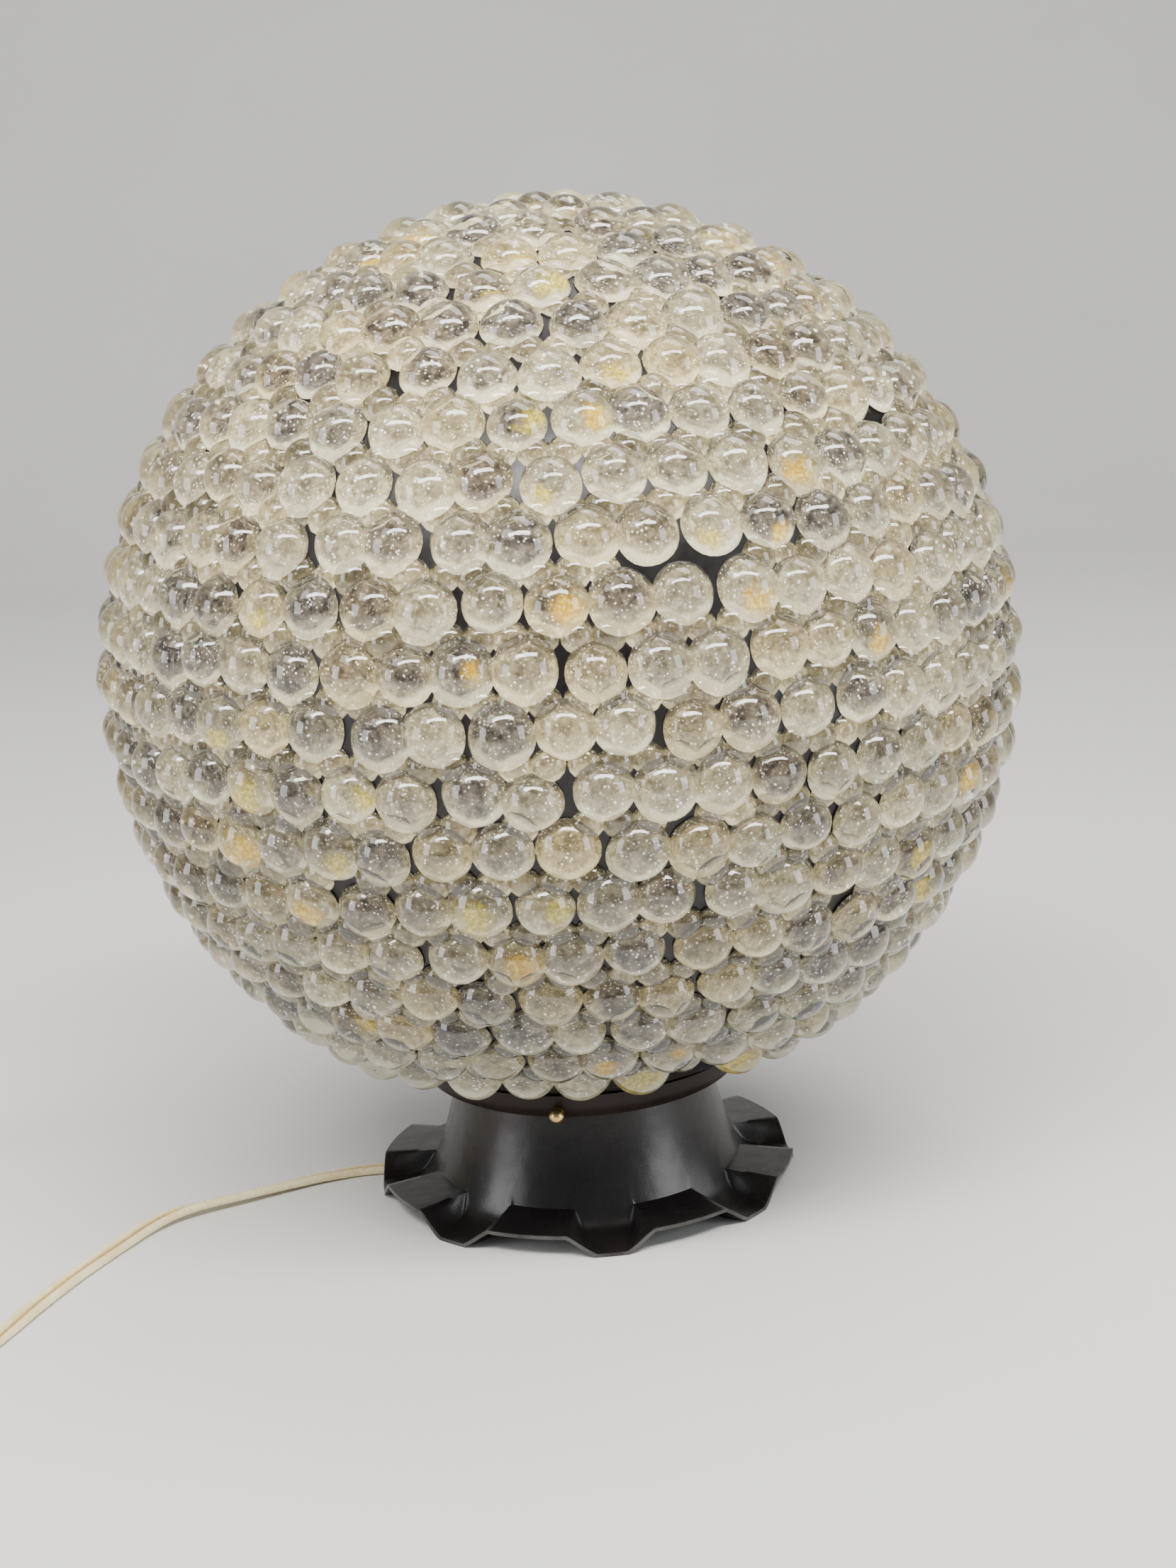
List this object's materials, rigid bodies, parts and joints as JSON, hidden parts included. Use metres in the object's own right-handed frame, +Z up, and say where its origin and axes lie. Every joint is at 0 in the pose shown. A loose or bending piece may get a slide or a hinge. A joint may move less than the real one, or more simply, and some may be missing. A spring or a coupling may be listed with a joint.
{
  "type": "table lamp",
  "caption": "Table lamp with a globe of clear glass gems in a round gallery on a black pressed-metal foot with a ruffled flange, a flat cord, a cord switch and a plug.",
  "frame": {"origin": "middle of the foot, on the table", "axes": "+Z up along the lamp's axis, -Y towards the viewer of the picture, +X to the right"},
  "size_m": [0.465, 0.2987, 0.3303],
  "materials": {
    "foot_black": "satin",
    "gallery_brown_black": "satin",
    "brass": "satin",
    "steel": "satin",
    "nylon": "satin",
    "bakelite": "gloss",
    "porcelain": "gloss",
    "shell_glass": "gloss",
    "gem_glass": "gloss",
    "bulb_glass": "satin",
    "bulb_metal": "satin",
    "cord_vinyl": "gloss",
    "switch_cream": "gloss",
    "rocker_black": "gloss"
  },
  "bodies": {
    "base": {"foot": "foot_black", "gallery_bowl": "gallery_brown_black", "threaded_tube": "brass", "tube_washer": "steel", "lower_nut": "brass", "upper_nut": "brass", "cord_bush": "nylon", "holder_cap": "bakelite", "holder_shell": "bakelite", "holder_insulator": "porcelain", "holder_screw_shell": "brass", "holder_contact": "brass", "cord": "cord_vinyl", "cord_coil": "cord_vinyl", "coil_tie": "rocker_black", "switch_base": "switch_cream", "switch_cover": "switch_cream", "switch_screws": "steel", "switch_contacts": "brass", "rocker_pin": "steel", "plug_body": "cord_vinyl", "plug_blades": "brass"},
    "globe": {"glass_globe": "shell_glass", "gem_row_01": "gem_glass", "gem_row_02": "gem_glass", "gem_row_03": "gem_glass", "gem_row_04": "gem_glass", "gem_row_05": "gem_glass", "gem_row_06": "gem_glass", "gem_row_07": "gem_glass", "gem_row_08": "gem_glass", "gem_row_09": "gem_glass", "gem_row_10": "gem_glass", "gem_row_11": "gem_glass", "gem_row_12": "gem_glass", "gem_row_13": "gem_glass", "gem_row_14": "gem_glass", "gem_row_15": "gem_glass", "gem_row_16": "gem_glass", "gem_row_17": "gem_glass", "gem_row_18": "gem_glass", "gem_row_19": "gem_glass", "gem_row_20": "gem_glass", "gem_row_21": "gem_glass"},
    "bulb": {"bulb_glass": "bulb_glass", "bulb_cap": "bulb_metal", "bulb_tip": "rocker_black"},
    "screw_1": {"gallery_screw_1": "brass"},
    "screw_2": {"gallery_screw_2": "brass"},
    "screw_3": {"gallery_screw_3": "brass"},
    "rocker": {"switch_rocker": "rocker_black"}
  },
  "joints": [
    {"name": "globe_lift", "type": "slide", "parent": "base", "child": "globe", "axis": [0, 0, 1], "range_m": [0, 0.15]},
    {"name": "bulb_lift", "type": "slide", "parent": "base", "child": "bulb", "axis": [0, 0, 1], "range_m": [0, 0.024]},
    {"name": "screw_1_out", "type": "slide", "parent": "base", "child": "screw_1", "axis": [-0.1564, -0.9877, 0], "range_m": [0, 0.003]},
    {"name": "screw_2_out", "type": "slide", "parent": "base", "child": "screw_2", "axis": [0.9336, 0.3584, 0], "range_m": [0, 0.003]},
    {"name": "screw_3_out", "type": "slide", "parent": "base", "child": "screw_3", "axis": [-0.7771, 0.6293, 0], "range_m": [0, 0.003]},
    {"name": "rocker_tip", "type": "hinge", "parent": "base", "child": "rocker", "pos_m": [-0.243, -0.08, 0.012], "axis": [1, 0, 0], "range_deg": [-18, 0]}
  ]
}
